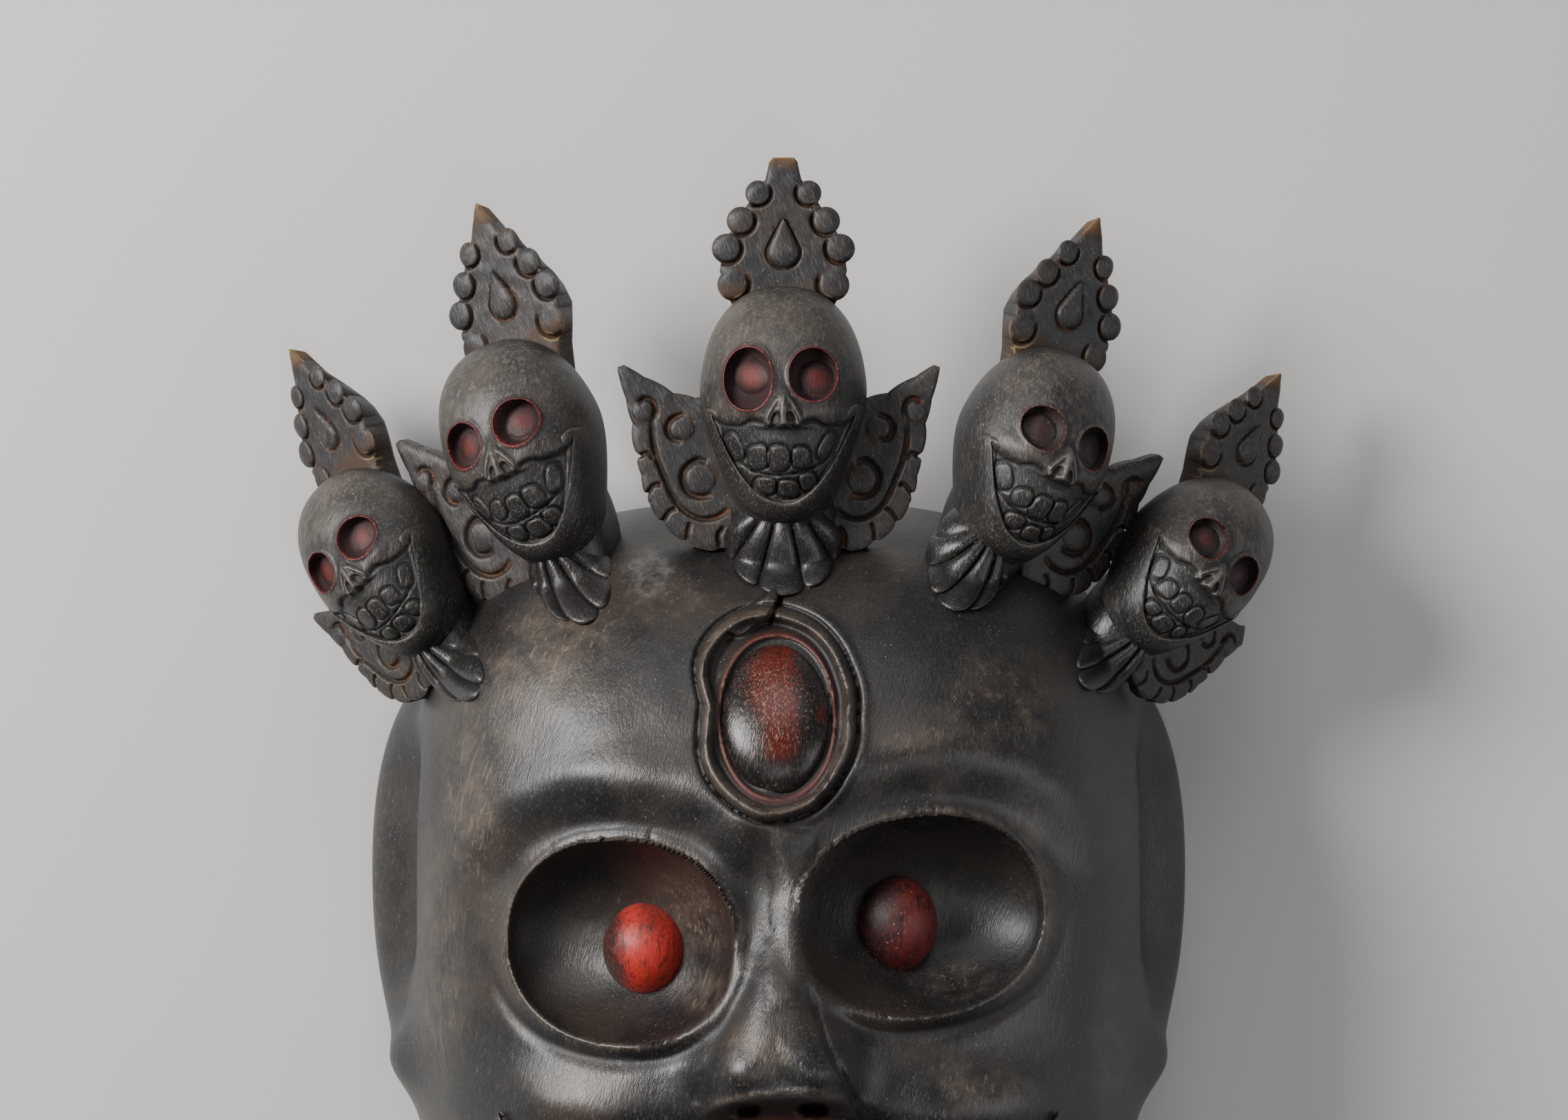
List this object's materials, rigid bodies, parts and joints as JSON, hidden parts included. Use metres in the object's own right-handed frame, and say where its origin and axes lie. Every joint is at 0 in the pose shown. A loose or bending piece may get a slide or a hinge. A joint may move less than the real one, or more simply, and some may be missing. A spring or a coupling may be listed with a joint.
{
  "type": "ritual mask",
  "caption": "Carved wooden ritual mask: a grinning skull face with a third eye and a crown of small skulls, flame plates and scroll wings; hollow behind, lies on its flat back rim",
  "frame": {"origin": "under the middle of the mask's box, on the plane of the flat back rim that it lies on", "axes": "+X to the viewer's right, +Y up to the crown, +Z out of the face"},
  "size_m": [0.2968, 0.3866, 0.1466],
  "materials": {
    "black_wood": "satin, dark stained and rubbed"
  },
  "bodies": {
    "root": {"mask": "black_wood"}
  },
  "joints": []
}
